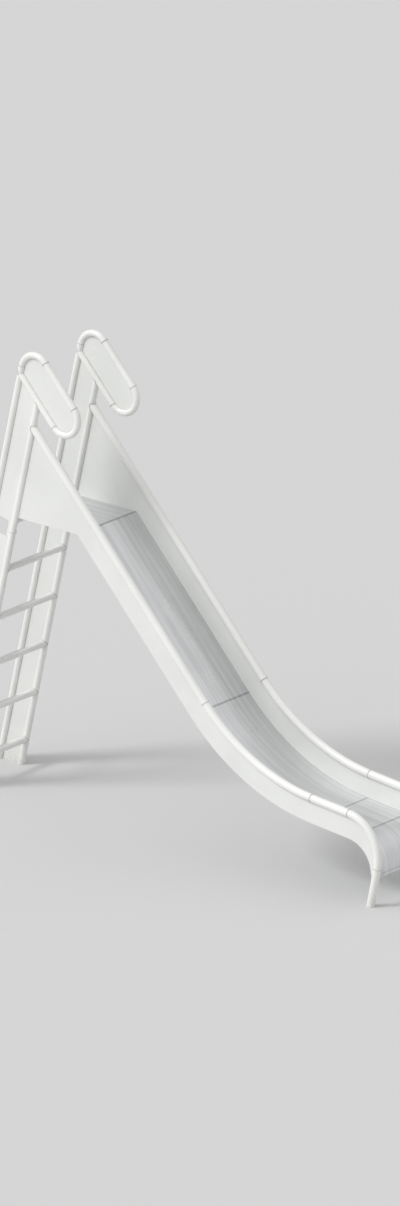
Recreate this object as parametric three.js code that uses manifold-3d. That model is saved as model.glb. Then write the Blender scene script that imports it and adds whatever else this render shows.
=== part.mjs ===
import * as THREE from 'three';
import { mergeVertices } from 'three/addons/utils/BufferGeometryUtils.js';
import Module from 'manifold-3d';

// Free-standing playground slide. Two leaning tube frames carry a rung ladder, a short deck and a
// chute of bent sheet between two tube rails, which end in the bent front legs.
// Sizes are in millimetres. X runs down the slide, Y across it and Z up. The side profile is laid
// out from the foot of the front post, and the whole group then moves to the middle of its length.

const wasm = await Module();
wasm.setup();

const degrees = THREE.MathUtils.degToRad;

// Stock
const GAP = 0.3;
const TUBE_RADIUS = 19.3;
const RAIL_RADIUS = 23;
const SHEET = 3;
const TUBE_SIDES = 24;
const TUBE_PLANE = 252.2;

// Posts and ladder
const POST_LEAN = degrees(12.9);
const POST_SPACING = 156.5;
const POST_JOINT_HEIGHT = 1589;
const WINDOW_BOTTOM = 1543;
const WINDOW_TOP = 1639;
const WINDOW_MARGIN = 38.4;
const RUNG_COUNT = 5;
const RUNG_PITCH = 300;
const LOWEST_RUNG = 155.5;
const BEARER_RISE = 3.2;

// Slide rail and front leg
const CHUTE_ANGLE = degrees(47);
const RUNOUT_ANGLE = degrees(5.7);
const RAIL_START_HEIGHT = 2232.6;
const RAIL_TO_CORNER = 2267.7;
const SWEEP_RADIUS = 1198;
const END_BEND_RADIUS = 230;
const LEG_LEAN = degrees(11.4);
const LEG_FOOT = 2926.5;

// Deck and chute
const CHUTE_DEPTH = 145.6;
const CURL_START = 2771;
const CURL_RADIUS = 174.5;
const LIP_BOTTOM = 145;
const DECK_REAR_REACH = 40;
const DECK_REAR_LIP = 30;

// Handrail loop
const LOOP_OFFSET = 329.3;
const LOOP_BEND_RADIUS = 98;
const LOOP_STRAIGHT = 302;

// Points and directions of the side profile
const vector = (x, z) => new THREE.Vector2(x, z);
const heading = (angle) => vector(Math.cos(angle), Math.sin(angle));
const rightOf = (direction) => vector(direction.y, -direction.x);
const shifted = (point, direction, distance) => point.clone().addScaledVector(direction, distance);

const LEVEL = vector(1, 0);
const UPRIGHT = vector(0, 1);
const UP_POST = heading(Math.PI / 2 - POST_LEAN);
const DOWN_CHUTE = heading(-CHUTE_ANGLE);
const ALONG_RUNOUT = heading(-RUNOUT_ANGLE);
const DOWN_LEG = heading(-Math.PI / 2 - LEG_LEAN);

// Endless lines: one beside another, to its right, and the point where two meet
const line = (point, direction) => ({ point, direction });

function beside({ point, direction }, distance) {
  return line(shifted(point, rightOf(direction), distance), direction);
}

function meet(first, second) {
  const apart = second.point.clone().sub(first.point);
  const along = apart.cross(second.direction) / first.direction.cross(second.direction);
  return shifted(first.point, first.direction, along);
}

const atHeight = (path, z) => meet(path, line(vector(0, z), LEVEL));

// A stretch of a tube's or sheet's route is a straight or an arc
class Straight {
  constructor(from, to) {
    this.from = from;
    this.to = to;
    this.steps = 1;
    this.direction = to.clone().sub(from).normalize();
  }

  at(t) {
    return this.from.clone().lerp(this.to, t);
  }

  beside(distance) {
    const side = rightOf(this.direction);
    return new Straight(shifted(this.from, side, distance), shifted(this.to, side, distance));
  }

  trimmed(start, end) {
    return new Straight(shifted(this.from, this.direction, start), shifted(this.to, this.direction, -end));
  }
}

class Arc {
  constructor(centre, radius, fromAngle, toAngle, steps) {
    this.centre = centre;
    this.radius = radius;
    this.fromAngle = fromAngle;
    this.toAngle = toAngle;
    this.steps = steps;
    this.turn = Math.sign(toAngle - fromAngle);
    this.from = this.at(0);
    this.to = this.at(1);
  }

  at(t) {
    return shifted(this.centre, heading(THREE.MathUtils.lerp(this.fromAngle, this.toAngle, t)), this.radius);
  }

  beside(distance) {
    return new Arc(this.centre, this.radius + this.turn * distance, this.fromAngle, this.toAngle, this.steps);
  }

  trimmed(start, end) {
    const startAngle = this.fromAngle + this.turn * start / this.radius;
    const endAngle = this.toAngle - this.turn * end / this.radius;
    return new Arc(this.centre, this.radius, startAngle, endAngle, this.steps);
  }
}

function pointsAlong(stretch) {
  return Array.from({ length: stretch.steps + 1 }, (_, i) => stretch.at(i / stretch.steps));
}

// The arc of a given radius that rounds the corner between two lines
function roundedCorner(first, second, radius, steps) {
  const corner = meet(first, second);
  const turn = Math.atan2(first.direction.cross(second.direction), first.direction.dot(second.direction));
  const side = Math.sign(turn);
  const tangent = radius * Math.tan(Math.abs(turn) / 2);
  const start = shifted(corner, first.direction, -tangent);
  const centre = shifted(start, rightOf(first.direction), -side * radius);
  const fromAngle = Math.atan2(first.direction.y, first.direction.x) - side * Math.PI / 2;
  return new Arc(centre, radius, fromAngle, fromAngle + turn, steps);
}

// Centre lines of the tubes
const frontPostLine = line(vector(0, 0), UP_POST);
const rearPostLine = line(vector(-POST_SPACING, 0), UP_POST);
const railLine = line(atHeight(frontPostLine, RAIL_START_HEIGHT), DOWN_CHUTE);
const runoutLine = line(shifted(railLine.point, DOWN_CHUTE, RAIL_TO_CORNER), ALONG_RUNOUT);
const legLine = line(vector(LEG_FOOT, 0), DOWN_LEG);
const loopLine = beside(railLine, -LOOP_OFFSET);
const returnLine = beside(loopLine, 2 * LOOP_BEND_RADIUS);

// Rail route from the front post down to the ground
const railSweep = roundedCorner(railLine, runoutLine, SWEEP_RADIUS, 14);
const railEnd = roundedCorner(runoutLine, legLine, END_BEND_RADIUS, 16);
const railSlope = new Straight(railLine.point, railSweep.from);
const railRunout = new Straight(railSweep.to, railEnd.from);
const railLeg = new Straight(railEnd.to, legLine.point);

// Handrail route from the rear post round the loop and back to the rear post
const loopTop = roundedCorner(rearPostLine, loopLine, LOOP_BEND_RADIUS, 16);
const loopSlope = new Straight(loopTop.to, shifted(loopTop.to, DOWN_CHUTE, LOOP_STRAIGHT));
const loopEndCentre = shifted(loopSlope.to, rightOf(DOWN_CHUTE), LOOP_BEND_RADIUS);
const loopEndAngle = Math.PI / 2 - CHUTE_ANGLE;
const loopEnd = new Arc(loopEndCentre, LOOP_BEND_RADIUS, loopEndAngle, loopEndAngle - Math.PI, 20);
const loopReturn = new Straight(loopEnd.to, meet(returnLine, rearPostLine));

// Post route, in a lower and an upper length
const frontPostJoint = atHeight(frontPostLine, POST_JOINT_HEIGHT);
const rearPostJoint = atHeight(rearPostLine, POST_JOINT_HEIGHT);
const frontPostTop = meet(frontPostLine, returnLine);
const frontPostLower = new Straight(frontPostLine.point, frontPostJoint);
const frontPostUpper = new Straight(frontPostJoint, frontPostTop);
const rearPostLower = new Straight(rearPostLine.point, rearPostJoint);
const rearPostUpper = new Straight(rearPostJoint, loopTop.from);

// Underside of the deck and chute, from the bar that bears the deck to the lip
const bearerHeight = LOWEST_RUNG + RUNG_COUNT * RUNG_PITCH + BEARER_RISE;
const deckLine = line(vector(0, bearerHeight + TUBE_RADIUS + GAP), LEVEL);
const crest = meet(deckLine, beside(railLine, CHUTE_DEPTH));
const bedSweep = railSweep.beside(CHUTE_DEPTH);
const curlStart = meet(beside(runoutLine, CHUTE_DEPTH), line(vector(CURL_START, 0), UPRIGHT));
const curlCentre = shifted(curlStart, rightOf(ALONG_RUNOUT), CURL_RADIUS);
const curl = new Arc(curlCentre, CURL_RADIUS, Math.PI / 2 - RUNOUT_ANGLE, 0, 10);
const lip = new Straight(curl.to, vector(curl.to.x, LIP_BOTTOM));
const bedSlope = new Straight(crest, bedSweep.from);
const bedRunout = new Straight(bedSweep.to, curlStart);

// Closed solids, for what is cut to its neighbours
function toSolid(geometry) {
  const bare = geometry.clone();
  bare.deleteAttribute('normal');
  bare.deleteAttribute('uv');
  const merged = mergeVertices(bare);
  const vertProperties = new Float32Array(merged.attributes.position.array);
  const triVerts = new Uint32Array(merged.index.array);
  return new wasm.Manifold(new wasm.Mesh({ numProp: 3, vertProperties, triVerts }));
}

function toGeometry(solid) {
  const mesh = solid.getMesh();
  const geometry = new THREE.BufferGeometry();
  geometry.setAttribute('position', new THREE.BufferAttribute(mesh.vertProperties, mesh.numProp));
  geometry.setIndex(new THREE.BufferAttribute(mesh.triVerts, 1));
  geometry.computeVertexNormals();
  return geometry;
}

function cut(geometry, ...tools) {
  return toGeometry(tools.reduce((left, tool) => left.subtract(toSolid(tool)), toSolid(geometry)));
}

// A stretch of the side profile as a curve in space, at one distance across the slide
class ProfileCurve extends THREE.Curve {
  constructor(stretch, y) {
    super();
    this.stretch = stretch;
    this.y = y;
  }

  getPoint(t, target = new THREE.Vector3()) {
    const place = this.stretch.at(t);
    return target.set(place.x, this.y, place.y);
  }
}

function circle(radius) {
  const corners = Array.from({ length: TUBE_SIDES }, (_, i) => heading(2 * Math.PI * (i + 0.5) / TUBE_SIDES));
  return new THREE.Shape(corners.map((corner) => corner.multiplyScalar(radius)));
}

function tube(stretch, radius, y) {
  return new THREE.ExtrudeGeometry(circle(radius), {
    steps: stretch.steps,
    extrudePath: new ProfileCurve(stretch, y),
  });
}

// A flat outline of the side profile, thickened across the slide
function plate(outline, width, middle = 0) {
  const geometry = new THREE.ExtrudeGeometry(new THREE.Shape(outline), { depth: width, bevelEnabled: false });
  geometry.rotateX(Math.PI / 2);
  geometry.translate(0, middle + width / 2, 0);
  return geometry;
}

// How far a cutter, or a tube before it is cut off, runs past the cut
const CUTTER_REACH = 60;

function groundUnder(stretchEnd, y) {
  const size = 4 * CUTTER_REACH;
  const block = new THREE.BoxGeometry(size, size, size);
  block.translate(stretchEnd.x, y, -size / 2);
  return block;
}

// Materials
const paint = (color) => new THREE.MeshStandardMaterial({ color, roughness: 0.45, metalness: 0.1 });
const tubePaint = paint(0xf2f2ee);
const panelPaint = paint(0xe9eae6);
const rungPaint = paint(0xf4f4f0);
const chuteSteel = new THREE.MeshStandardMaterial({ color: 0xd5d8da, roughness: 0.3, metalness: 0.9 });

const slide = new THREE.Group();

function add(name, geometry, material) {
  const mesh = new THREE.Mesh(geometry, material);
  mesh.name = name;
  slide.add(mesh);
}

const half = GAP / 2;
const clearTube = TUBE_RADIUS + GAP;
const clearRail = RAIL_RADIUS + GAP;

// Leaning posts, cut off level where they stand on the ground
function addPosts(side, y) {
  const rearLower = tube(rearPostLower.trimmed(-CUTTER_REACH, half), TUBE_RADIUS, y);
  const frontLower = tube(frontPostLower.trimmed(-CUTTER_REACH, half), TUBE_RADIUS, y);
  const frontUpper = tube(frontPostUpper.trimmed(half, 0), TUBE_RADIUS, y);
  add(`rear_post_lower_${side}`, cut(rearLower, groundUnder(rearPostLine.point, y)), tubePaint);
  add(`front_post_lower_${side}`, cut(frontLower, groundUnder(frontPostLine.point, y)), tubePaint);
  add(`rear_post_upper_${side}`, tube(rearPostUpper.trimmed(half, half), TUBE_RADIUS, y), tubePaint);
  add(`front_post_upper_${side}`, cut(frontUpper, tube(loopReturn, clearTube, y)), tubePaint);
}

// Handrail loop above the deck, its return shaped to the rear post
function addHandrail(side, y) {
  const rearPost = tube(rearPostUpper, clearTube, y);
  const closing = cut(tube(loopReturn.trimmed(half, 0), TUBE_RADIUS, y), rearPost);
  add(`handrail_top_bend_${side}`, tube(loopTop.trimmed(half, half), TUBE_RADIUS, y), tubePaint);
  add(`handrail_${side}`, tube(loopSlope.trimmed(half, half), TUBE_RADIUS, y), tubePaint);
  add(`handrail_end_bend_${side}`, tube(loopEnd.trimmed(half, half), TUBE_RADIUS, y), tubePaint);
  add(`handrail_return_${side}`, closing, tubePaint);
}

// Flat plate that closes the handrail loop
function addHandrailPlate(side, y) {
  const outline = [
    meet(beside(rearPostLine, clearTube), beside(returnLine, -clearTube)),
    ...pointsAlong(loopTop.beside(clearTube)),
    ...pointsAlong(loopEnd.beside(clearTube)),
  ];
  add(`handrail_plate_${side}`, plate(outline, SHEET, y), panelPaint);
}

// Slide rail shaped to the front post, its sweep and run-out, and the leg that it bends into
function addRail(side, y) {
  const frontPost = tube(frontPostUpper, clearTube, y);
  const slope = cut(tube(railSlope.trimmed(0, half), RAIL_RADIUS, y), frontPost);
  const leg = tube(railLeg.trimmed(half, -CUTTER_REACH), RAIL_RADIUS, y);
  add(`slide_rail_${side}`, slope, tubePaint);
  add(`rail_sweep_${side}`, tube(railSweep.trimmed(half, half), RAIL_RADIUS, y), tubePaint);
  add(`runout_rail_${side}`, tube(railRunout.trimmed(half, half), RAIL_RADIUS, y), tubePaint);
  add(`rail_end_bend_${side}`, tube(railEnd.trimmed(half, half), RAIL_RADIUS, y), tubePaint);
  add(`front_leg_${side}`, cut(leg, groundUnder(legLine.point, y)), tubePaint);
}

// Flat panel in the plane of the tubes, from the rail down to the bed
function addSidePanel(side, y) {
  const postEdge = beside(frontPostLine, clearTube);
  const legEdge = beside(legLine, clearRail);
  const outline = [
    meet(postEdge, deckLine),
    meet(postEdge, beside(railLine, clearRail)),
    ...pointsAlong(railSweep.beside(clearRail)),
    ...pointsAlong(railEnd.beside(clearRail)),
    atHeight(legEdge, curl.to.y),
    ...pointsAlong(curl).reverse(),
    ...pointsAlong(bedSweep).reverse(),
    crest,
  ];
  add(`side_panel_${side}`, plate(outline, SHEET, y), panelPaint);
}

// Flat plates between the front and rear posts. The guard plate above reaches down on both sides
// of a window, cut square to the posts, to the stringer plate below.
function addPostPlates(side, y) {
  const rearEdge = beside(rearPostLine, clearTube);
  const frontEdge = beside(frontPostLine, -clearTube);
  const windowRear = beside(rearPostLine, WINDOW_MARGIN);
  const windowFront = beside(frontPostLine, -WINDOW_MARGIN);
  const squareAt = (height) => line(atHeight(frontPostLine, height), rightOf(UP_POST));
  const windowTop = squareAt(WINDOW_TOP);
  const windowBottom = squareAt(WINDOW_BOTTOM);
  const feet = beside(windowBottom, -GAP);
  const underReturn = beside(returnLine, clearTube);
  const ground = line(vector(0, 0), LEVEL);
  const guard = [
    meet(rearEdge, feet),
    meet(windowRear, feet),
    meet(windowRear, windowTop),
    meet(windowFront, windowTop),
    meet(windowFront, feet),
    meet(frontEdge, feet),
    meet(frontEdge, underReturn),
    meet(rearEdge, underReturn),
  ];
  const stringer = [
    meet(rearEdge, ground),
    meet(frontEdge, ground),
    meet(frontEdge, windowBottom),
    meet(rearEdge, windowBottom),
  ];
  add(`guard_plate_${side}`, plate(guard, SHEET, y), panelPaint);
  add(`stringer_plate_${side}`, plate(stringer, SHEET, y), panelPaint);
}

// Round bar between the front posts, of the same tube as they are and shaped to them
function rung(height) {
  const centre = atHeight(frontPostLine, height);
  const end = (y) => new THREE.Vector3(centre.x, y, centre.y);
  const path = new THREE.LineCurve3(end(-TUBE_PLANE), end(TUBE_PLANE));
  const bar = new THREE.ExtrudeGeometry(circle(TUBE_RADIUS), { steps: 1, extrudePath: path });
  const post = new Straight(shifted(centre, UP_POST, -CUTTER_REACH), shifted(centre, UP_POST, CUTTER_REACH));
  const posts = [-TUBE_PLANE, TUBE_PLANE].map((y) => tube(post, clearTube, y));
  return cut(bar, ...posts);
}

function addRungs() {
  for (let i = 0; i < RUNG_COUNT; i += 1) {
    add(`rung_${i + 1}`, rung(LOWEST_RUNG + i * RUNG_PITCH), rungPaint);
  }
  add('deck_bearer', rung(bearerHeight), rungPaint);
}

// Deck with its rear edge turned down behind the front posts, which it is notched around
function addDeck(width) {
  const level = deckLine.point.y;
  const top = level + SHEET;
  const mitre = SHEET * Math.tan(CHUTE_ANGLE / 2);
  const lipOutside = beside(frontPostLine, -DECK_REAR_REACH);
  const lipInside = beside(frontPostLine, SHEET - DECK_REAR_REACH);
  const outline = [
    atHeight(lipOutside, top - DECK_REAR_LIP),
    atHeight(lipInside, top - DECK_REAR_LIP),
    atHeight(lipInside, level),
    vector(crest.x - half, level),
    vector(crest.x + mitre - half, top),
    atHeight(lipOutside, top),
  ];
  const posts = [-TUBE_PLANE, TUBE_PLANE].map((y) => tube(frontPostUpper, clearTube, y));
  add('deck_plate', cut(plate(outline, width), ...posts), chuteSteel);
}

// Sheet of even thickness whose underside follows the given stretches
function bentSheet(stretches, width) {
  const under = stretches.flatMap(pointsAlong);
  const over = stretches.flatMap((stretch) => pointsAlong(stretch.beside(-SHEET)));
  return plate([...under, ...over.reverse()], width);
}

function addChute(width) {
  add('chute_bed', bentSheet([bedSlope.trimmed(half, half)], width), chuteSteel);
  add('chute_sweep', bentSheet([bedSweep.trimmed(half, half)], width), chuteSteel);
  add('runout_bed', bentSheet([bedRunout.trimmed(half, half)], width), chuteSteel);
  add('exit_lip', bentSheet([curl.trimmed(half, 0), lip], width), chuteSteel);
}

for (const [side, y] of [['left', TUBE_PLANE], ['right', -TUBE_PLANE]]) {
  addPosts(side, y);
  addHandrail(side, y);
  addHandrailPlate(side, y);
  addRail(side, y);
  addSidePanel(side, y);
  addPostPlates(side, y);
}
const bedWidth = 2 * (TUBE_PLANE - SHEET / 2 - GAP);
addRungs();
addDeck(bedWidth);
addChute(bedWidth);

// Origin under the middle of the length
const bounds = new THREE.Box3().setFromObject(slide);
slide.position.x = -(bounds.min.x + bounds.max.x) / 2;

export default slide;
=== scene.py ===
import cmath
import math

import bmesh
import bpy
import numpy as np
from mathutils import Matrix, Vector


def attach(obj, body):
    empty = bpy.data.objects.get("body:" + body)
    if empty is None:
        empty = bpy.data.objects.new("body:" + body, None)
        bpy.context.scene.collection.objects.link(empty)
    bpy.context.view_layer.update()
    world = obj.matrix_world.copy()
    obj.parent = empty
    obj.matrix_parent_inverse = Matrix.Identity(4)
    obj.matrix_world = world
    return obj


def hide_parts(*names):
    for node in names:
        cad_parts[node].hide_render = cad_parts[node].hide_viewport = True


# Free-standing playground slide. Every CAD node is replaced by a finer piece on the same side
# profile, with weld beads, seams and finishes added. Sizes are in metres, and the profile is laid
# out in the plane of X (down the slide) and Z (up), with points as complex numbers x + iz.

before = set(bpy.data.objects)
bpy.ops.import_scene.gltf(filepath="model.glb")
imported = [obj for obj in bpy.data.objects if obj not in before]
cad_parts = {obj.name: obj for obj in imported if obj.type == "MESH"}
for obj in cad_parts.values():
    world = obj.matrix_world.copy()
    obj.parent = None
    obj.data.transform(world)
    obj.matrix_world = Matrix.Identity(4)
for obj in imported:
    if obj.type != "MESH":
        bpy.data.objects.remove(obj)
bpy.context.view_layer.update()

# Stock
GAP = 0.0003
TUBE_RADIUS = 0.0193
RAIL_RADIUS = 0.023
SHEET = 0.003
TUBE_PLANE = 0.2522
TUBE_SIDES = 48

# Posts and ladder. START is where the front posts' axis meets the ground, seen from the side.
START = -1.411906
POST_LEAN = math.radians(12.9)
POST_SPACING = 0.1565
POST_JOINT_HEIGHT = 1.589
WINDOW_BOTTOM = 1.543
WINDOW_TOP = 1.639
WINDOW_MARGIN = 0.0384
RUNG_COUNT = 5
RUNG_PITCH = 0.3
LOWEST_RUNG = 0.1555
BEARER_RISE = 0.0032

# Slide rail and front leg
CHUTE_ANGLE = math.radians(47)
RUNOUT_ANGLE = math.radians(5.7)
RAIL_START_HEIGHT = 2.2326
RAIL_TO_CORNER = 2.2677
SWEEP_RADIUS = 1.198
END_BEND_RADIUS = 0.23
LEG_LEAN = math.radians(11.4)
LEG_FOOT = START + 2.9265

# Deck and chute
CHUTE_DEPTH = 0.1456
CURL_START = START + 2.771
CURL_RADIUS = 0.1745
LIP_BOTTOM = 0.145
DECK_REAR_REACH = 0.04
DECK_REAR_LIP = 0.03
DECK_BEND_RADIUS = 0.004
CREST_BEND_RADIUS = 0.012

# Handrail loop
LOOP_OFFSET = 0.3293
LOOP_BEND_RADIUS = 0.098
LOOP_STRAIGHT = 0.302


# Points and lines of the side profile. A line is a point and a direction.
def heading(angle):
    return cmath.rect(1, angle)


def right_of(direction):
    return -1j * direction


def cross(first, second):
    return (first.conjugate() * second).imag


def beside(line, distance):
    return line[0] + distance * right_of(line[1]), line[1]


def meet(first, second):
    (point, direction), (other_point, other) = first, second
    return point + direction * cross(other_point - point, other) / cross(direction, other)


def at_height(line, z):
    return meet(line, (complex(0, z), 1))


class Straight:
    turn_per_metre = 0

    def __init__(self, start, end):
        self.start, self.end = start, end
        self.length = abs(end - start)
        self.direction = (end - start) / self.length

    def at(self, t):
        return self.start + (self.end - self.start) * t

    def heading_at(self, t):
        return self.direction

    def beside(self, distance):
        side = distance * right_of(self.direction)
        return Straight(self.start + side, self.end + side)

    def trimmed(self, start, end):
        return Straight(self.start + start * self.direction, self.end - end * self.direction)


class Arc:
    def __init__(self, centre, radius, start_angle, end_angle):
        self.centre, self.radius = centre, radius
        self.start_angle, self.end_angle = start_angle, end_angle
        self.turn = math.copysign(1, end_angle - start_angle)
        self.length = radius * abs(end_angle - start_angle)
        self.turn_per_metre = 1 / radius
        self.start, self.end = self.at(0), self.at(1)

    def angle_at(self, t):
        return self.start_angle + (self.end_angle - self.start_angle) * t

    def at(self, t):
        return self.centre + self.radius * heading(self.angle_at(t))

    def heading_at(self, t):
        return 1j * self.turn * heading(self.angle_at(t))

    def beside(self, distance):
        return Arc(self.centre, self.radius + self.turn * distance, self.start_angle, self.end_angle)

    def trimmed(self, start, end):
        first = self.start_angle + self.turn * start / self.radius
        last = self.end_angle - self.turn * end / self.radius
        return Arc(self.centre, self.radius, first, last)


def rounded_corner(first, second, radius):
    """Arc that rounds the corner where one line turns into another."""
    turn = cmath.phase(second[1] / first[1])
    side = math.copysign(1, turn)
    start = meet(first, second) - first[1] * radius * math.tan(abs(turn) / 2)
    centre = start - side * radius * right_of(first[1])
    start_angle = cmath.phase(first[1]) - side * math.pi / 2
    return Arc(centre, radius, start_angle, start_angle + turn)


UP_POST = heading(math.pi / 2 - POST_LEAN)
DOWN_CHUTE = heading(-CHUTE_ANGLE)
ALONG_RUNOUT = heading(-RUNOUT_ANGLE)
DOWN_LEG = heading(-math.pi / 2 - LEG_LEAN)

front_post_line = (complex(START, 0), UP_POST)
rear_post_line = (complex(START - POST_SPACING, 0), UP_POST)
rail_line = (at_height(front_post_line, RAIL_START_HEIGHT), DOWN_CHUTE)
runout_line = (rail_line[0] + RAIL_TO_CORNER * DOWN_CHUTE, ALONG_RUNOUT)
leg_line = (complex(LEG_FOOT, 0), DOWN_LEG)
loop_line = beside(rail_line, -LOOP_OFFSET)
return_line = beside(loop_line, 2 * LOOP_BEND_RADIUS)

rail_sweep = rounded_corner(rail_line, runout_line, SWEEP_RADIUS)
rail_end = rounded_corner(runout_line, leg_line, END_BEND_RADIUS)
rail_slope = Straight(rail_line[0], rail_sweep.start)
rail_runout = Straight(rail_sweep.end, rail_end.start)
rail_leg = Straight(rail_end.end, leg_line[0])

loop_top = rounded_corner(rear_post_line, loop_line, LOOP_BEND_RADIUS)
loop_slope = Straight(loop_top.end, loop_top.end + LOOP_STRAIGHT * DOWN_CHUTE)
loop_end_centre = loop_slope.end + LOOP_BEND_RADIUS * right_of(DOWN_CHUTE)
loop_end_angle = math.pi / 2 - CHUTE_ANGLE
loop_end = Arc(loop_end_centre, LOOP_BEND_RADIUS, loop_end_angle, loop_end_angle - math.pi)
loop_return = Straight(loop_end.end, meet(return_line, rear_post_line))

front_post_joint = at_height(front_post_line, POST_JOINT_HEIGHT)
rear_post_joint = at_height(rear_post_line, POST_JOINT_HEIGHT)
front_post_lower = Straight(front_post_line[0], front_post_joint)
front_post_upper = Straight(front_post_joint, meet(front_post_line, return_line))
rear_post_lower = Straight(rear_post_line[0], rear_post_joint)
rear_post_upper = Straight(rear_post_joint, loop_top.start)

# Underside of the deck and chute
bearer_height = LOWEST_RUNG + RUNG_COUNT * RUNG_PITCH + BEARER_RISE
deck_line = (complex(0, bearer_height + TUBE_RADIUS + GAP), complex(1, 0))
bed_line = beside(rail_line, CHUTE_DEPTH)
crest = meet(deck_line, bed_line)
bed_sweep = rail_sweep.beside(CHUTE_DEPTH)
curl_start = meet(beside(runout_line, CHUTE_DEPTH), (complex(CURL_START, 0), 1j))
curl_centre = curl_start + CURL_RADIUS * right_of(ALONG_RUNOUT)
curl = Arc(curl_centre, CURL_RADIUS, math.pi / 2 - RUNOUT_ANGLE, 0)
lip = Straight(curl.end, complex(curl.end.real, LIP_BOTTOM))
bed_runout = Straight(bed_sweep.end, curl_start)

# Meshes
LATERAL = np.array((0.0, 1.0, 0.0))
FINE_TURN = math.radians(3)
STRAIGHT_STEP = 0.12
END_STEP = 0.012
SAME_PLACE = 1e-6
PLACE_DIGITS, SHARE_DIGITS = 9, 6
SHARP_ANGLE = math.radians(30)
MOST_CAP_CORNERS = 24
END_RING_SHARES = (0.02, 0.35, 0.7, 1)
BEAD_SIDES = 8
BEAD_PITCH = 0.003
BEAD_RIPPLE = 0.12
BEAD_TIP_SHARE = 0.2
CHAMFER = 0.0005


def in_space(point, y=0.0):
    return np.array((point.real, y, point.imag))


def stations(stretch):
    """Places along a stretch, closer on bends and next to the ends."""
    bends = stretch.length * stretch.turn_per_metre / FINE_TURN
    count = max(1, math.ceil(bends), math.ceil(stretch.length / STRAIGHT_STEP))
    places = set(np.linspace(0, 1, count + 1).round(PLACE_DIGITS))
    if stretch.length > 3 * END_STEP and not stretch.turn_per_metre:
        places |= {END_STEP / stretch.length, 1 - END_STEP / stretch.length}
    return sorted(places)


def route(stretches):
    """Points and directions along joined stretches, each joint once."""
    found = [(s.at(t), s.heading_at(t)) for s in stretches for t in stations(s)]
    kept = found[:1]
    for point, direction in found[1:]:
        if abs(point - kept[-1][0]) > SAME_PLACE:
            kept.append((point, direction))
    return kept


class Shell:
    """Closed skins that make up one piece."""

    def __init__(self):
        self.points, self.faces = [], []

    def skin(self, rows, wrap=False):
        """Joins closed loops of points, one after the other, and closes both ends."""
        first, size = len(self.points), len(rows[0])
        for row in rows:
            self.points.extend(map(tuple, row))
        joins = len(rows) if wrap else len(rows) - 1
        for i in range(joins):
            here, there = first + i * size, first + (i + 1) % len(rows) * size
            for j in range(size):
                k = (j + 1) % size
                self.faces.append((here + j, here + k, there + k, there + j))
        if not wrap:
            for start in (first, first + (len(rows) - 1) * size):
                self.cap(start, size)

    def cap(self, start, size):
        """Closes a loop with one face, or with a fan where it has many corners."""
        loop = range(start, start + size)
        if size <= MOST_CAP_CORNERS:
            self.faces.append(tuple(loop))
            return
        centre = len(self.points)
        self.points.append(tuple(np.mean(self.points[start:start + size], axis=0)))
        self.faces.extend((centre, loop[j], loop[(j + 1) % size]) for j in range(size))

    def mesh(self, name):
        mesh = bpy.data.meshes.new(name)
        mesh.from_pydata(self.points, [], self.faces)
        edit = bmesh.new()
        edit.from_mesh(mesh)
        bmesh.ops.recalc_face_normals(edit, faces=edit.faces)
        edit.to_mesh(mesh)
        edit.free()
        mesh.polygons.foreach_set("use_smooth", [True] * len(mesh.polygons))
        mesh.set_sharp_from_angle(angle=SHARP_ANGLE)
        return mesh


def ring(centre, across, other, radius, sides=TUBE_SIDES):
    """Points round a circle in the plane of two directions."""
    angle = 2 * np.pi * (np.arange(sides) + 0.5) / sides
    return centre + radius * (np.outer(np.cos(angle), across) + np.outer(np.sin(angle), other))


# Ends of tubes: square, level on the ground, or shaped to another tube
def square(points, into):
    return points


def on_ground(points, into):
    return points - np.outer(points[:, 2] / into[2], into)


def shaped_to(axis_point, axis, radius):
    """Moves points along a direction until they clear a round tube."""

    def moved(points, into):
        offset = points - axis_point
        offset = offset - np.outer(offset @ axis, axis)
        travel = into - (into @ axis) * axis
        along = offset @ travel
        reach = along**2 - (travel @ travel) * ((offset**2).sum(axis=1) - radius**2)
        distance = (np.sqrt(np.maximum(reach, 0)) - along) / (travel @ travel)
        return points + np.outer(distance, into)

    return moved


def tube(shell, frames, radius, start, end):
    """Round tube through frames of centre, direction and first cross direction."""
    rows = []
    for index, shaped, into in ((0, start, 1), (-1, end, -1)):
        centre, direction, across = frames[index]
        other = np.cross(direction, across)
        loops = [
            shaped(ring(centre, across, other, radius * share), into * direction)
            for share in END_RING_SHARES
        ]
        rows.append(loops)
    middle = [
        ring(centre, across, np.cross(direction, across), radius)
        for centre, direction, across in frames[1:-1]
    ]
    shell.skin(rows[0] + middle + rows[1][::-1])


def profile_frames(stretches, y):
    return [
        (in_space(point, y), in_space(direction), in_space(right_of(direction)))
        for point, direction in route(stretches)
    ]


def bead(shell, path, outward, radius, closed=True, ripple=0.0):
    """Small round bead along points, rippled as a weld is. An open one tapers at its ends."""
    path, outward = np.asarray(path), np.asarray(outward)
    if closed:
        tangent = np.roll(path, -1, axis=0) - np.roll(path, 1, axis=0)
        spacing = np.linalg.norm(np.roll(path, -1, axis=0) - path, axis=1)
    else:
        tangent = np.gradient(path, axis=0)
        spacing = np.linalg.norm(np.diff(path, axis=0, append=path[-1:]), axis=1)
    tangent = tangent / np.linalg.norm(tangent, axis=1)[:, None]
    outward = outward - (outward * tangent).sum(axis=1)[:, None] * tangent
    outward = outward / np.linalg.norm(outward, axis=1)[:, None]
    other = np.cross(tangent, outward)
    travelled = np.cumsum(spacing) - spacing[0]
    waves = round(spacing.sum() / BEAD_PITCH)
    swell = 1 + ripple * np.cos(2 * np.pi * waves * travelled / spacing.sum())
    sizes = radius * swell
    if not closed:
        sizes[0] = sizes[-1] = radius * BEAD_TIP_SHARE
    rows = [ring(p, o, b, s, BEAD_SIDES) for p, o, b, s in zip(path, outward, other, sizes)]
    shell.skin(rows, wrap=closed)


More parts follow.
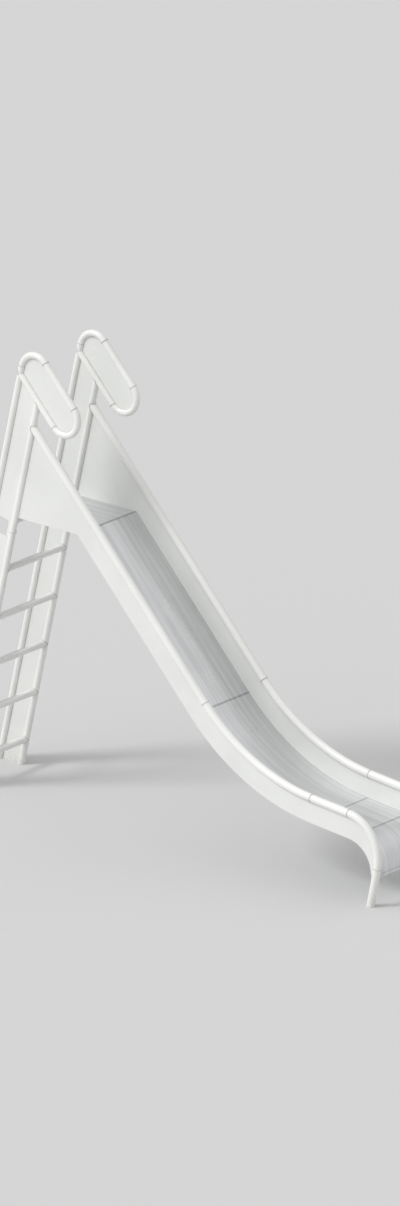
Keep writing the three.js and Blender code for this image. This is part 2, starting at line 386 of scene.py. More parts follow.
def sheet_loop(under, over, half):
    """Section of a sheet from side to side, with its long edges eased."""
    ease, inset = CHAMFER / abs(over - under), half - CHAMFER
    spots = [
        (half, ease), (half, 1 - ease), (inset, 1), (-inset, 1),
        (-half, 1 - ease), (-half, ease), (-inset, 0), (inset, 0),
    ]
    return np.array([in_space(under + (over - under) * share, y) for y, share in spots])


def bent_sheet(shell, under, over, width_at):
    """Sheet between two lists of profile points; width_at gives half its width at a point."""
    rows = []
    for low_point, high_point in zip(under, over):
        half = width_at((low_point + high_point) / 2)
        rows.append(sheet_loop(low_point, high_point, half))
    shell.skin(rows)


def add_object(name, data):
    made = bpy.data.objects.new(name, data)
    bpy.context.scene.collection.objects.link(made)
    return made


# Finishes
def add_node(tree, kind, inputs=None, **settings):
    """Adds a node, with inputs that are either values or outputs of other nodes."""
    node = tree.nodes.new(kind)
    for name, value in settings.items():
        setattr(node, name, value)
    for name, value in (inputs or {}).items():
        if isinstance(value, bpy.types.NodeSocket):
            tree.links.new(value, node.inputs[name])
        else:
            node.inputs[name].default_value = value
    return node


class Finish:
    """A material's nodes, added by short calls."""

    def __init__(self, name, **uniform):
        self.material = bpy.data.materials.new(name)
        self.material.use_nodes = True
        self.tree = self.material.node_tree
        self.surface = self.tree.nodes["Principled BSDF"]
        for socket, value in uniform.items():
            self.surface.inputs[socket.replace("_", " ")].default_value = value
        self.place = self.add("ShaderNodeTexCoord").outputs["Object"]
        split = self.add("ShaderNodeSeparateXYZ", {0: self.place})
        self.y, self.z = split.outputs["Y"], split.outputs["Z"]

    def add(self, kind, inputs=None, **settings):
        return add_node(self.tree, kind, inputs, **settings)

    def noise(self, scale, detail=3.0, roughness=0.5):
        inputs = {"Vector": self.place, "Scale": scale, "Detail": detail, "Roughness": roughness}
        return self.add("ShaderNodeTexNoise", inputs).outputs["Fac"]

    def streaks(self, along, across, detail, roughness=0.5):
        """Noise drawn out down the slide, with its scales along and across it."""
        scales = {0: self.place, 1: (along, across, along)}
        drawn_out = self.add("ShaderNodeVectorMath", scales, operation="MULTIPLY").outputs[0]
        inputs = {"Vector": drawn_out, "Scale": 1.0, "Detail": detail, "Roughness": roughness}
        return self.add("ShaderNodeTexNoise", inputs).outputs["Fac"]

    def ramp(self, value, low, high, first=0.0, last=1.0):
        """Smooth step of a value from first to last between low and high."""
        inputs = {"Value": value, "From Min": low, "From Max": high, "To Min": first, "To Max": last}
        return self.add("ShaderNodeMapRange", inputs, interpolation_type="SMOOTHSTEP").outputs[0]

    def math(self, operation, first, second=0.0):
        return self.add("ShaderNodeMath", {0: first, 1: second}, operation=operation).outputs[0]

    def times(self, *values):
        product = values[0]
        for value in values[1:]:
            product = self.math("MULTIPLY", product, value)
        return product

    def blend(self, share, first, second):
        inputs = {0: share, 6: first, 7: second}
        return self.add("ShaderNodeMix", inputs, data_type="RGBA").outputs[2]

    def bump(self, height, distance, under=None):
        inputs = {"Height": height, "Distance": distance, "Strength": 1.0}
        if under:
            inputs["Normal"] = under
        return self.add("ShaderNodeBump", inputs).outputs[0]

    def feed(self, **sockets):
        for socket, value in sockets.items():
            self.tree.links.new(value, self.surface.inputs[socket.replace("_", " ")])


def colour(red, green, blue):
    return red, green, blue, 1.0


DUST = colour(0.47, 0.43, 0.37)
PRIMER = colour(0.62, 0.62, 0.61)
DUSTY_HEIGHT = 0.16
DUST_SHARE = 0.38
SCUFF_SHARE = 0.22
DULLING = 0.18
SHEET_WAVE = 0.0012


def powder_coat(name, clean, dull, gloss, matt, peel, wave=0.0):
    """Powder coat: orange peel, patches of polish, faint scuffs, and dust low down."""
    finish = Finish(name, Metallic=0.0, Specular_IOR_Level=0.5)
    patches = finish.ramp(finish.noise(scale=3.2, detail=4.0), low=0.35, high=0.68)
    scuffs = finish.ramp(finish.noise(scale=38.0, detail=6.0, roughness=0.62), low=0.64, high=0.74)
    near_ground = finish.ramp(finish.z, low=0.0, high=DUSTY_HEIGHT, first=1.0, last=0.0)
    specks = finish.ramp(finish.noise(scale=60.0, detail=6.0, roughness=0.6), low=0.30, high=0.72)
    dust = finish.times(near_ground, specks, DUST_SHARE)
    tone = finish.blend(patches, clean, dull)
    tone = finish.blend(finish.times(scuffs, SCUFF_SHARE), tone, PRIMER)
    tone = finish.blend(dust, tone, DUST)
    rough = finish.ramp(finish.noise(scale=7.5), low=0.3, high=0.7, first=gloss, last=matt)
    rough = finish.math("ADD", rough, finish.times(finish.math("MAXIMUM", scuffs, dust), DULLING))
    normal = finish.bump(finish.noise(scale=430.0, detail=2.0), peel)
    if wave:
        normal = finish.bump(finish.noise(scale=5.5, detail=1.0), wave, normal)
    finish.feed(Base_Color=tone, Roughness=rough, Normal=normal)
    return finish, tone, rough, normal


def paint(name, **looks):
    return powder_coat(name, **looks)[0].material


BARE_STEEL = colour(0.76, 0.76, 0.75)
TREAD_DIRECTION = (-0.10, 0.0, 0.995)
TREAD_MIDDLE, TREAD_END = 0.05, 0.19
WEAR_BREAKUP = 0.9
PRIMER_SHARE = 0.40
BARE_DULLING = 0.06
COAT_THICKNESS = 0.00012


def worn_paint(name, **looks):
    """Powder coat that feet have worn through on top, more so towards the middle."""
    finish, tone, rough, normal = powder_coat(name, **looks)
    facing = finish.add("ShaderNodeNewGeometry").outputs["Normal"]
    tread = finish.add(
        "ShaderNodeVectorMath", {0: facing, 1: TREAD_DIRECTION}, operation="DOT_PRODUCT"
    ).outputs["Value"]
    off_middle = finish.math("ABSOLUTE", finish.y)
    middle = finish.ramp(off_middle, low=TREAD_MIDDLE, high=TREAD_END, first=1.0, last=0.0)
    broken = finish.noise(scale=95.0, detail=6.0, roughness=0.68)
    wear = finish.times(finish.ramp(tread, low=0.45, high=1.0), middle)
    wear = finish.math("ADD", wear, finish.times(broken, WEAR_BREAKUP))
    thin = finish.ramp(wear, low=0.90, high=1.14)
    bare = finish.ramp(wear, low=1.20, high=1.32)
    tone = finish.blend(finish.times(thin, PRIMER_SHARE), tone, PRIMER)
    tone = finish.blend(bare, tone, BARE_STEEL)
    rough = finish.math("ADD", rough, finish.times(bare, BARE_DULLING))
    normal = finish.bump(finish.math("SUBTRACT", 1.0, bare), COAT_THICKNESS, normal)
    finish.feed(Base_Color=tone, Roughness=rough, Normal=normal, Metallic=bare)
    return finish.material


BRIGHT_SCRATCH = colour(0.88, 0.89, 0.90)
LANE_HALF, BED_EDGE = 0.13, 0.235
EDGE_SHADE, EDGE_DULLING = 0.30, 0.12
SCRATCH_SHARE = 0.10
GRAIN_DULLING = 0.05


def brushed_steel(name, dark, light, smooth, coarse, lane):
    """Stainless sheet brushed down the slide, with a lane that clothes have polished."""
    finish = Finish(name, Metallic=1.0, Anisotropic=0.55)
    grain = finish.streaks(along=3.0, across=900.0, detail=5.0, roughness=0.6)
    bands = finish.streaks(along=1.3, across=46.0, detail=4.0)
    clouds = finish.noise(scale=4.5)
    lines = finish.streaks(along=6.0, across=420.0, detail=2.0)
    scratches = finish.ramp(lines, low=0.70, high=0.76)
    edge = finish.ramp(finish.math("ABSOLUTE", finish.y), low=LANE_HALF, high=BED_EDGE)
    unpolished = finish.math("MULTIPLY", edge, lane)
    tone = finish.blend(finish.ramp(bands, low=0.32, high=0.68), dark, light)
    tone = finish.blend(finish.times(unpolished, EDGE_SHADE), tone, dark)
    tone = finish.blend(finish.times(scratches, SCRATCH_SHARE), tone, BRIGHT_SCRATCH)
    rough = finish.ramp(clouds, low=0.3, high=0.7, first=smooth, last=coarse)
    rough = finish.math("ADD", rough, finish.times(unpolished, EDGE_DULLING))
    rough = finish.math("ADD", rough, finish.times(grain, GRAIN_DULLING))
    normal = finish.bump(finish.noise(scale=2.6, detail=0.0), SHEET_WAVE)
    brushed = finish.add("ShaderNodeCombineXYZ", {1: 1.0}).outputs[0]
    finish.feed(Base_Color=tone, Roughness=rough, Normal=normal, Tangent=brushed)
    return finish.material


tube_paint = paint(
    "tube_powder_coat", clean=colour(0.87, 0.87, 0.85), dull=colour(0.83, 0.83, 0.81),
    gloss=0.28, matt=0.40, peel=0.00003,
)
grip_paint = paint(
    "handled_powder_coat", clean=colour(0.88, 0.88, 0.86), dull=colour(0.82, 0.82, 0.80),
    gloss=0.18, matt=0.34, peel=0.00002,
)
panel_paint = paint(
    "panel_powder_coat", clean=colour(0.81, 0.82, 0.80), dull=colour(0.77, 0.78, 0.76),
    gloss=0.32, matt=0.44, peel=0.00004, wave=SHEET_WAVE,
)
weld_paint = paint(
    "weld_powder_coat", clean=colour(0.66, 0.66, 0.64), dull=colour(0.54, 0.54, 0.52),
    gloss=0.40, matt=0.52, peel=0.00003,
)
seam_paint = paint(
    "seam_powder_coat", clean=colour(0.60, 0.60, 0.58), dull=colour(0.50, 0.50, 0.48),
    gloss=0.42, matt=0.54, peel=0.00003,
)
rung_paint = worn_paint(
    "worn_rung_paint", clean=colour(0.86, 0.86, 0.84), dull=colour(0.80, 0.80, 0.78),
    gloss=0.32, matt=0.42, peel=0.00003,
)
chute_steel = brushed_steel(
    "brushed_chute_sheet", dark=colour(0.68, 0.69, 0.70), light=colour(0.80, 0.81, 0.82),
    smooth=0.24, coarse=0.34, lane=1.0,
)
deck_steel = brushed_steel(
    "brushed_deck_sheet", dark=colour(0.66, 0.67, 0.68), light=colour(0.78, 0.79, 0.80),
    smooth=0.30, coarse=0.40, lane=0.4,
)
seam_steel = brushed_steel(
    "ground_seam", dark=colour(0.42, 0.43, 0.44), light=colour(0.55, 0.56, 0.57),
    smooth=0.30, coarse=0.38, lane=0.2,
)


def place(name, shell, material, node=None):
    """Adds a piece, in place of a CAD node where one is named."""
    piece = add_object(name, shell.mesh(name))
    piece.data.materials.append(material)
    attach(piece, "root")
    if node:
        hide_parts(node)


# Tubes of both sides
half_gap = GAP / 2
clear_tube, clear_rail = TUBE_RADIUS + GAP, RAIL_RADIUS + GAP
BEAD_POINTS = 192
TUBE_BEAD = 0.003
COPE_LEAN = 0.6
POST_AXIS = in_space(UP_POST)
RETURN_AXIS = in_space(DOWN_CHUTE)


def butt_bead(shell, point, direction, radius, y):
    """Bead round a joint between two lengths of one tube."""
    across = in_space(right_of(direction))
    rim = ring(in_space(point, y), across, LATERAL, radius, BEAD_POINTS)
    bead(shell, rim, rim - in_space(point, y), TUBE_BEAD, ripple=BEAD_RIPPLE)


def cope_bead(shell, centre, direction, radius, shaped):
    """Bead where a tube's shaped end meets the tube that it is welded to."""
    across = np.cross(direction, LATERAL)
    if np.linalg.norm(across) < SAME_PLACE:
        across = POST_AXIS
    other = np.cross(direction, across)
    rim = shaped(ring(centre, across, other, radius, BEAD_POINTS), direction)
    outward = ring(np.zeros(3), across, other, 1.0, BEAD_POINTS) + COPE_LEAN * direction
    bead(shell, rim, outward, TUBE_BEAD, ripple=BEAD_RIPPLE)


def add_tubes(side, y):
    at_front_post = shaped_to(in_space(front_post_line[0], y), POST_AXIS, clear_tube)
    at_rear_post = shaped_to(in_space(rear_post_line[0], y), POST_AXIS, clear_tube)
    at_return = shaped_to(in_space(loop_return.end, y), RETURN_AXIS, clear_tube)
    posts = [
        ("rear_post_lower", rear_post_lower.trimmed(0, half_gap), on_ground, square),
        ("rear_post_upper", rear_post_upper.trimmed(half_gap, half_gap), square, square),
        ("front_post_lower", front_post_lower.trimmed(0, half_gap), on_ground, square),
        ("front_post_upper", front_post_upper.trimmed(half_gap, 0), square, at_return),
    ]
    handrails = [
        ("handrail_top_bend", loop_top.trimmed(half_gap, half_gap), square, square),
        ("handrail", loop_slope.trimmed(half_gap, half_gap), square, square),
        ("handrail_end_bend", loop_end.trimmed(half_gap, half_gap), square, square),
        ("handrail_return", loop_return.trimmed(half_gap, 0), square, at_rear_post),
    ]
    rails = [
        ("slide_rail", rail_slope.trimmed(0, half_gap), at_front_post, square),
        ("rail_sweep", rail_sweep.trimmed(half_gap, half_gap), square, square),
        ("runout_rail", rail_runout.trimmed(half_gap, half_gap), square, square),
        ("rail_end_bend", rail_end.trimmed(half_gap, half_gap), square, square),
        ("front_leg", rail_leg.trimmed(half_gap, 0), square, on_ground),
    ]
    for tubes, radius, material in (
        (posts, TUBE_RADIUS, tube_paint),
        (handrails, TUBE_RADIUS, grip_paint),
        (rails, RAIL_RADIUS, tube_paint),
    ):
        for name, stretch, start, end in tubes:
            shell = Shell()
            tube(shell, profile_frames([stretch], y), radius, start, end)
            place(f"{side}_{name}", shell, material, f"{name}_{side}")

    welds = Shell()
    for point, direction, radius in (
        (rear_post_joint, UP_POST, TUBE_RADIUS),
        (front_post_joint, UP_POST, TUBE_RADIUS),
        (loop_top.start, UP_POST, TUBE_RADIUS),
        (loop_slope.start, DOWN_CHUTE, TUBE_RADIUS),
        (loop_slope.end, DOWN_CHUTE, TUBE_RADIUS),
        (loop_end.end, DOWN_CHUTE, TUBE_RADIUS),
        (rail_sweep.start, DOWN_CHUTE, RAIL_RADIUS),
        (rail_sweep.end, ALONG_RUNOUT, RAIL_RADIUS),
        (rail_end.start, ALONG_RUNOUT, RAIL_RADIUS),
        (rail_end.end, DOWN_LEG, RAIL_RADIUS),
    ):
        butt_bead(welds, point, direction, radius, y)
    cope_bead(welds, in_space(front_post_upper.end, y), -POST_AXIS, TUBE_RADIUS, at_return)
    cope_bead(welds, in_space(loop_return.end, y), -RETURN_AXIS, TUBE_RADIUS, at_rear_post)
    cope_bead(welds, in_space(rail_slope.start, y), RETURN_AXIS, RAIL_RADIUS, at_front_post)
    place(f"{side}_tube_welds", welds, weld_paint)


# Flat plates of both sides
PLATE_ROWS = 6
LARGEST_EASE = 0.4
SEAM_BEAD = 0.0020
SEAM_STEP = 0.04
BLUNT_TIP_HALF = 0.002


def plate(shell, first_edge, second_edge, y):
    """Flat sheet in the tube plane between two edges, each a list of profile points."""
    rows = []
    for low, high in zip(first_edge, second_edge):
        span = abs(high - low)
        ease = min(CHAMFER / span, LARGEST_EASE) if span else 0.0
        shares = [ease, *np.linspace(0, 1, PLATE_ROWS)[1:-1], 1 - ease]
        spots = [(share, SHEET / 2) for share in shares]
        spots += [(1.0, SHEET / 2 - CHAMFER), (1.0, CHAMFER - SHEET / 2)]
        spots += [(share, -SHEET / 2) for share in shares[::-1]]
        spots += [(0.0, CHAMFER - SHEET / 2), (0.0, SHEET / 2 - CHAMFER)]
        rows.append([in_space(low + (high - low) * share, y + depth) for share, depth in spots])
    shell.skin(np.array(rows))


def along(stretches):
    return [point for point, direction in route(stretches)]


def lengths(points):
    """How far along a line of points each one is, from 0 to 1."""
    steps = np.abs(np.diff(points))
    return np.concatenate(([0.0], np.cumsum(steps))) / steps.sum()


def sampled(points, shares):
    """Points at given shares of the length of a line of points."""
    places, values = lengths(points), np.asarray(points)
    return np.interp(shares, places, values.real) + 1j * np.interp(shares, places, values.imag)


def matched(first, second):
    """Both edges with the same number of points, chosen so that each keeps its own corners."""
    shares = set(lengths(first).round(SHARE_DIGITS)) | set(lengths(second).round(SHARE_DIGITS))
    shares = sorted(shares)
    return sampled(first, shares), sampled(second, shares)


def seam(shell, points, y):
    """Fine welds along a plate's edge, on both of its faces."""
    for face in (-1, 1):
        depth = y + face * SHEET / 2
        path = [in_space(point, depth) for point in points]
        bead(shell, path, [face * LATERAL] * len(path), SEAM_BEAD, closed=False)


def spread_points(start, end):
    """Evenly spread points from start to end, three or more."""
    count = max(2, math.ceil(abs(end - start) / SEAM_STEP))
    return [start + (end - start) * i / count for i in range(count + 1)]


def loop_edges():
    """Inside of the handrail loop, as two edges from the rear post to a blunt tip in the end bend."""
    bend = loop_end.beside(clear_tube)
    before_tip = bend.trimmed(0, bend.length / 2 + BLUNT_TIP_HALF)
    after_tip = bend.trimmed(bend.length / 2 + BLUNT_TIP_HALF, 0)
    corner = meet(beside(rear_post_line, clear_tube), beside(return_line, -clear_tube))
    below = along([Straight(corner, loop_return.beside(clear_tube).start)])[:-1]
    below += along([after_tip])[::-1]
    return below, along([loop_top.beside(clear_tube), loop_slope.beside(clear_tube), before_tip])


def square_to_post(height):
    """Line square to the posts, through the front post's axis at a height."""
    return at_height(front_post_line, height), right_of(UP_POST)


rear_edge = beside(rear_post_line, clear_tube)
front_edge = beside(front_post_line, -clear_tube)
window_rear = beside(rear_post_line, WINDOW_MARGIN)
window_front = beside(front_post_line, -WINDOW_MARGIN)
window_top = square_to_post(WINDOW_TOP)
window_bottom = square_to_post(WINDOW_BOTTOM)


def guard_edges():
    """Edge round the window and outer edge of the guard plate, from its rear to its front foot."""
    feet = beside(window_bottom, -GAP)
    under_return = beside(return_line, clear_tube)
    rear_top, front_top = meet(rear_edge, under_return), meet(front_edge, under_return)
    outer = [
        *spread_points(meet(rear_edge, window_top), rear_top),
        *spread_points(rear_top, front_top)[1:],
        *spread_points(front_top, meet(front_edge, window_top))[1:],
    ]
    top = [meet(window_rear, window_top), meet(window_front, window_top)]
    inner = [meet(window_rear, feet), *sampled(top, lengths(outer)), meet(window_front, feet)]
    outer = [meet(rear_edge, feet), *outer, meet(front_edge, feet)]
    return inner, outer


def panel_edges():
    """Upper edge of the side panel along the post and rail, and its lower edge along the bed."""
    post_edge = beside(front_post_line, clear_tube)
    leg_edge = beside(leg_line, clear_rail)
    rear_foot = meet(post_edge, deck_line)
    under_rail = meet(post_edge, beside(rail_line, clear_rail))
    upper = along([
        Straight(under_rail, rail_sweep.beside(clear_rail).start),
        rail_sweep.beside(clear_rail),
        rail_runout.beside(clear_rail),
        rail_end.beside(clear_rail),
    ])
    upper = [rear_foot, *upper, at_height(leg_edge, curl.end.imag)]
    lower = along([
        Straight(rear_foot, crest),
        Straight(crest, bed_sweep.start),
        bed_sweep,
        bed_runout,
        curl,
    ])
    return upper, lower


def add_plates(side, y):
    seams = Shell()

    def add(name, first_edge, second_edge):
        shell = Shell()
        plate(shell, first_edge, second_edge, y)
        place(f"{side}_{name}", shell, panel_paint, f"{name}_{side}")

    upper, lower = panel_edges()
    add("side_panel", *matched(upper[1:], lower)[::-1])
    seam(seams, upper, y)

    below, above = loop_edges()
    add("handrail_plate", *matched(below, above))
    seam(seams, [below[0], *above, *below[::-1]], y)

    inner, outer = guard_edges()
    add("guard_plate", inner, outer)
    seam(seams, outer, y)

    ground = (0j, complex(1, 0))
    rear = spread_points(meet(rear_edge, ground), meet(rear_edge, window_bottom))
    front = spread_points(meet(front_edge, ground), meet(front_edge, window_bottom))
    add("stringer_plate", *matched(rear, front))
    seam(seams, rear, y)
    seam(seams, front, y)
    for edge, window_edge in ((rear_edge, window_rear), (front_edge, window_front)):
        seam(seams, spread_points(meet(edge, window_bottom), meet(window_edge, window_bottom)), y)
    place(f"{side}_plate_seams", seams, seam_paint)


# Rungs, and the bar under the deck
RUNG_STATIONS = 9


def add_bar(name, height, welds):
    centre = at_height(front_post_line, height)
    ends = [
        shaped_to(in_space(front_post_line[0], y), POST_AXIS, clear_tube)
        for y in (-TUBE_PLANE, TUBE_PLANE)
    ]
    frames = [
        (in_space(centre, y), LATERAL, POST_AXIS)
        for y in np.linspace(-TUBE_PLANE, TUBE_PLANE, RUNG_STATIONS)
    ]
    shell = Shell()
    tube(shell, frames, TUBE_RADIUS, *ends)
    place(f"{name}_bar", shell, rung_paint, name)
    for y, direction, shaped in ((-TUBE_PLANE, LATERAL, ends[0]), (TUBE_PLANE, -LATERAL, ends[1])):
        cope_bead(welds, in_space(centre, y), direction, TUBE_RADIUS, shaped)


def add_rungs():
    welds = Shell()
    for i in range(RUNG_COUNT):
        add_bar(f"rung_{i + 1}", LOWEST_RUNG + i * RUNG_PITCH, welds)
    add_bar("deck_bearer", bearer_height, welds)
    place("rung_welds", welds, weld_paint)


# Deck and chute
bed_half = TUBE_PLANE - SHEET / 2 - GAP
NOTCH_CLEARANCE = 0.0008
NOTCH_POINTS = 33


def full_width(point):
    return bed_half


def deck_width(point):
    """Half the deck's width, less where it is notched round the front posts."""
    reach = TUBE_RADIUS + NOTCH_CLEARANCE
    offset = abs(cross(UP_POST, point - front_post_line[0]))
    if offset >= reach:
        return bed_half
    return min(bed_half, TUBE_PLANE - math.sqrt(reach**2 - offset**2))


crest_bend = rounded_corner(deck_line, bed_line, CREST_BEND_RADIUS)
crest_middle = crest_bend.length / 2
bed_slope = Straight(crest_bend.end, bed_sweep.start)


def sheet_piece(name, stretches, width_at, material, node):
    """Piece of bent sheet whose underside runs along the stretches."""
    shell = Shell()
    lists = [along(stretches), along([stretch.beside(-SHEET) for stretch in stretches])]
    bent_sheet(shell, *lists, width_at)
    place(name, shell, material, node)


def add_deck():
    lip_line = beside(front_post_line, SHEET - DECK_REAR_REACH)
    rear_bend = rounded_corner(lip_line, deck_line, DECK_BEND_RADIUS)
    lip_end = at_height(lip_line, deck_line[0].imag + SHEET - DECK_REAR_LIP)
    axis = at_height(front_post_line, deck_line[0].imag + SHEET / 2).real
    reach = (TUBE_RADIUS + NOTCH_CLEARANCE) / math.cos(POST_LEAN)
    notch = [
        complex(axis - reach * math.cos(turn), deck_line[0].imag)
        for turn in np.linspace(0, math.pi, NOTCH_POINTS)
    ]
    stretches = [Straight(lip_end, rear_bend.start), rear_bend, Straight(rear_bend.end, notch[0])]
    stretches += [Straight(a, b) for a, b in zip(notch, notch[1:])]
    stretches += [Straight(notch[-1], crest_bend.start), crest_bend.trimmed(0, crest_middle + half_gap)]
    sheet_piece("deck_sheet", stretches, deck_width, deck_steel, "deck_plate")


def add_chute():
    pieces = {
        "chute_bed": [
            crest_bend.trimmed(crest_middle + half_gap, 0),
            bed_slope.trimmed(0, half_gap),
        ],
        "chute_sweep": [bed_sweep.trimmed(half_gap, half_gap)],
        "runout_bed": [bed_runout.trimmed(half_gap, half_gap)],
        "exit_lip": [curl.trimmed(half_gap, 0), lip],
    }
    for node, stretches in pieces.items():
        sheet_piece(f"{node}_sheet", stretches, full_width, chute_steel, node)


BAND_HALF = 0.006
BAND_HALF_ON_CREST = 0.0048
BAND_RISE = 0.0004
BAND_ROOT = 0.6 * SHEET
BAND_MARGIN = 0.002


def band_width(point):
    return bed_half - BAND_MARGIN


def add_chute_seams():
    """Ground bands over the joints across the sheet."""
    shell = Shell()
    crest_cut = crest_middle - BAND_HALF_ON_CREST
    joints = [[crest_bend.trimmed(crest_cut, crest_cut)]]
    for before, after in ((bed_slope, bed_sweep), (bed_sweep, bed_runout), (bed_runout, curl)):
        last_part = before.trimmed(before.length - BAND_HALF, 0)
        joints.append([last_part, after.trimmed(0, after.length - BAND_HALF)])
    for stretches in joints:
        inner = along([stretch.beside(-BAND_ROOT) for stretch in stretches])
        outer = along([stretch.beside(-SHEET - BAND_RISE) for stretch in stretches])
        bent_sheet(shell, inner, outer, band_width)
    place("chute_seams", shell, seam_steel)


HEM_HEIGHT = 0.020
HEM_THICKNESS = 0.0024
HEM_HALF = 0.243
HEM_CLEARANCE = 0.0001
HEM_WELD = 0.0022
HEM_WELD_POINTS = 161


def hem_width(point):
    return HEM_HALF


def add_hem():
    """Edge of the lip, folded back on its outer face and welded along the fold's top."""
    face = lip.end.real + SHEET + HEM_CLEARANCE
    top = LIP_BOTTOM + HEM_HEIGHT
    folded = Straight(complex(face, top), complex(face, LIP_BOTTOM + HEM_THICKNESS / 2))
    shell = Shell()
    bent_sheet(shell, along([folded]), along([folded.beside(-HEM_THICKNESS)]), hem_width)
    place("lip_hem", shell, chute_steel)

    weld = Shell()
    path = [np.array((face, y, top)) for y in np.linspace(-HEM_HALF, HEM_HALF, HEM_WELD_POINTS)]
    outward = [np.array((1.0, 0.0, 1.0))] * len(path)
    bead(weld, path, outward, HEM_WELD, closed=False, ripple=BEAD_RIPPLE)
    place("hem_weld", weld, seam_steel)


SIDE_SEAM = 0.0021
SIDE_SEAM_INSET = 0.0004
SIDE_SEAM_STOP = 0.08
POST_SEAM = 0.0022
POST_SEAM_POINTS = 40
POST_SEAM_FROM, POST_SEAM_TO = math.radians(4), math.radians(176)
POST_SEAM_LEAN = 0.01


def add_corner_seams():
    """Fine welds where the sheet meets the side panels, and where the deck meets the posts."""
    shell = Shell()
    top = along([
        crest_bend.beside(-SHEET),
        bed_slope.beside(-SHEET),
        bed_sweep.beside(-SHEET),
        bed_runout.beside(-SHEET),
        curl.beside(-SHEET).trimmed(0, SIDE_SEAM_STOP),
    ])
    for side in (-1, 1):
        path = [in_space(point, side * (bed_half - SIDE_SEAM_INSET)) for point in top]
        bead(shell, path, [-side * LATERAL] * len(path), SIDE_SEAM, closed=False)
    level = deck_line[0].imag + SHEET
    centre = at_height(front_post_line, level).real
    turns = np.linspace(POST_SEAM_FROM, POST_SEAM_TO, POST_SEAM_POINTS)
    xs = centre - TUBE_RADIUS / math.cos(POST_LEAN) * np.cos(turns)
    for side in (-1, 1):
        ys = side * (TUBE_PLANE - TUBE_RADIUS * np.sin(turns))
        path = [np.array((x, y, level)) for x, y in zip(xs, ys)]
        outward = [
            np.array((x - centre, y - side * TUBE_PLANE, POST_SEAM_LEAN)) for x, y in zip(xs, ys)
        ]
        bead(shell, path, outward, POST_SEAM, closed=False)
    place("chute_corner_seams", shell, seam_paint)


for side, y in (("left", TUBE_PLANE), ("right", -TUBE_PLANE)):
    add_tubes(side, y)
    add_plates(side, y)
add_rungs()
add_deck()
add_chute()
add_chute_seams()
add_hem()
add_corner_seams()

# Studio. The surroundings have one brightness near the horizon, and the floor is given the
# reflectance that makes it as bright, so that no edge shows where it ends.
HORIZON = 0.67
SKY_DIM = 0.36
# Each glow has a direction, a strength and a power that narrows it.
SKY_GLOWS = (
    (Vector((-0.42, -0.70, 0.56)).normalized(), 1.15, 2.5),
    (Vector((0.35, 0.75, 0.56)).normalized(), 0.45, 2.0),
)
SKY_LOW, SKY_HIGH = 0.07, 0.34
SUN_STRENGTH = 1.15
SUN_ANGLE = math.radians(15)
SUN = Vector((-0.38, -0.60, 0.70)).normalized()
FLOOR_HALF = 60.0
SKY_SAMPLES = 400


def sky(direction):
    """Brightness of the surroundings in a direction, as the world's nodes give it."""
    share = np.clip((direction[..., 2] - SKY_LOW) / (SKY_HIGH - SKY_LOW), 0, 1)
    share = share * share * (3 - 2 * share)
    upper = SKY_DIM
    for centre, strength, power in SKY_GLOWS:
        upper = upper + strength * np.clip(direction @ np.array(centre), 0, 1) ** power
    return HORIZON * (1 - share) + upper * share


def floor_reflectance():
    """Reflectance that makes the floor as bright as the horizon."""
    heights = (np.arange(SKY_SAMPLES) + 0.5) / SKY_SAMPLES
    turns = 2 * np.pi * heights
    z, turn = np.meshgrid(heights, turns)
    flat = np.sqrt(1 - z * z)
    directions = np.stack((flat * np.cos(turn), flat * np.sin(turn), z), axis=-1)
    from_sky = (sky(directions) * z).mean() * 2 * np.pi
    return HORIZON * np.pi / (from_sky + SUN_STRENGTH * SUN.z)


def add_floor():
    mesh = bpy.data.meshes.new("studio_floor")
    signs = ((-1, -1), (1, -1), (1, 1), (-1, 1))
    corners = [(x * FLOOR_HALF, y * FLOOR_HALF, -GAP) for x, y in signs]
    mesh.from_pydata(corners, [], [(0, 1, 2, 3)])
    floor = add_object("studio_floor", mesh)
    material = bpy.data.materials.new("pale_floor")
    material.use_nodes = True
    tree = material.node_tree
    tree.nodes.clear()
    level = floor_reflectance()
    surface = add_node(tree, "ShaderNodeBsdfDiffuse", {"Color": colour(level, level, level)})
    add_node(tree, "ShaderNodeOutputMaterial", {"Surface": surface.outputs[0]})
    mesh.materials.append(material)


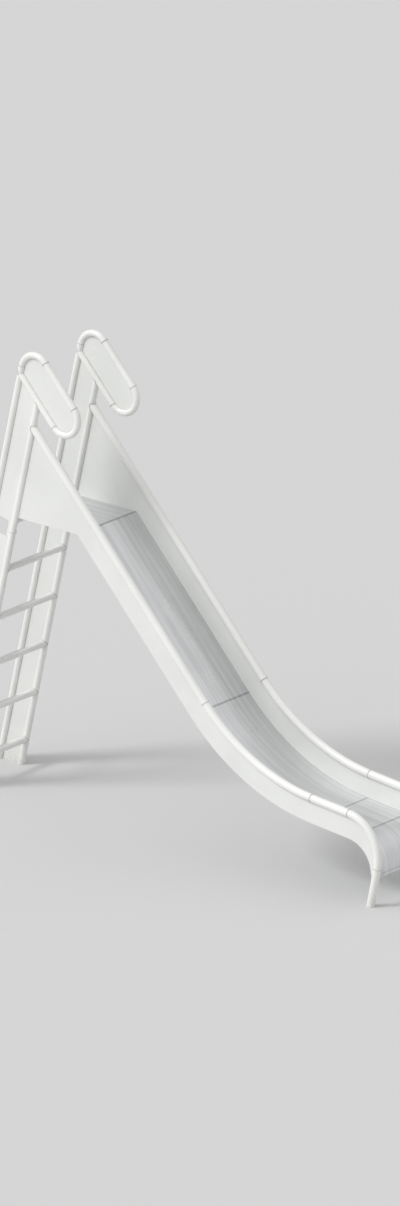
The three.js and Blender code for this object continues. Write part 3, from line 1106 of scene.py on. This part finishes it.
def add_surroundings():
    world = bpy.data.worlds.new("studio")
    bpy.context.scene.world = world
    world.use_nodes = True
    tree = world.node_tree
    background = tree.nodes["Background"]

    def add(kind, inputs=None, **settings):
        return add_node(tree, kind, inputs, **settings)

    direction = add("ShaderNodeTexCoord").outputs["Generated"]
    z = add("ShaderNodeSeparateXYZ", {0: direction}).outputs["Z"]
    share = add(
        "ShaderNodeMapRange", {"Value": z, "From Min": SKY_LOW, "From Max": SKY_HIGH},
        interpolation_type="SMOOTHSTEP",
    ).outputs[0]
    upper = SKY_DIM
    for centre, strength, power in SKY_GLOWS:
        toward = add("ShaderNodeVectorMath", {0: direction, 1: centre}, operation="DOT_PRODUCT")
        toward = add("ShaderNodeMath", {0: toward.outputs["Value"], 1: 0.0}, operation="MAXIMUM")
        glow = add("ShaderNodeMath", {0: toward.outputs[0], 1: power}, operation="POWER")
        upper = add(
            "ShaderNodeMath", {0: glow.outputs[0], 1: strength, 2: upper}, operation="MULTIPLY_ADD"
        ).outputs[0]
    level = add("ShaderNodeMix", {0: share, 2: HORIZON, 3: upper}, data_type="FLOAT").outputs[0]
    tree.links.new(level, background.inputs["Color"])


def add_sun():
    light = bpy.data.lights.new("key", "SUN")
    light.energy = SUN_STRENGTH
    light.angle = SUN_ANGLE
    lamp = add_object("key", light)
    lamp.rotation_mode = "QUATERNION"
    lamp.rotation_quaternion = SUN.to_track_quat("Z", "Y")


add_floor()
add_surroundings()
add_sun()
bpy.context.scene.view_settings.view_transform = "Standard"

# Camera at the drawing's viewing angle, far away with a long lens, because the drawing is in
# parallel projection
CAMERA_AZIMUTH = math.radians(39.622)
CAMERA_ELEVATION = math.radians(19.511)
CAMERA_ROLL = math.radians(0.215)
CAMERA_DISTANCE = 95.847
CAMERA_LENS = 520
SENSOR_WIDTH = 36
CLIP_START, CLIP_END = 1.0, 300.0
AIM = Vector((0.0519, 0.0436, 1.3428))


def add_camera():
    x, y, z = math.sin(CAMERA_AZIMUTH), -math.cos(CAMERA_AZIMUTH), math.sin(CAMERA_ELEVATION)
    flat = math.cos(CAMERA_ELEVATION)
    back = Vector((x * flat, y * flat, z))
    level = Vector((-y, x, 0))
    upward = back.cross(level)
    right = math.cos(CAMERA_ROLL) * level + math.sin(CAMERA_ROLL) * upward
    up = math.cos(CAMERA_ROLL) * upward - math.sin(CAMERA_ROLL) * level
    data = bpy.data.cameras.new("camera")
    data.lens = CAMERA_LENS
    data.sensor_width = SENSOR_WIDTH
    data.clip_start, data.clip_end = CLIP_START, CLIP_END
    camera = add_object("camera", data)
    turned = Matrix((right, up, back)).transposed().to_4x4()
    camera.matrix_world = Matrix.Translation(AIM + back * CAMERA_DISTANCE) @ turned
    bpy.context.scene.camera = camera


add_camera()
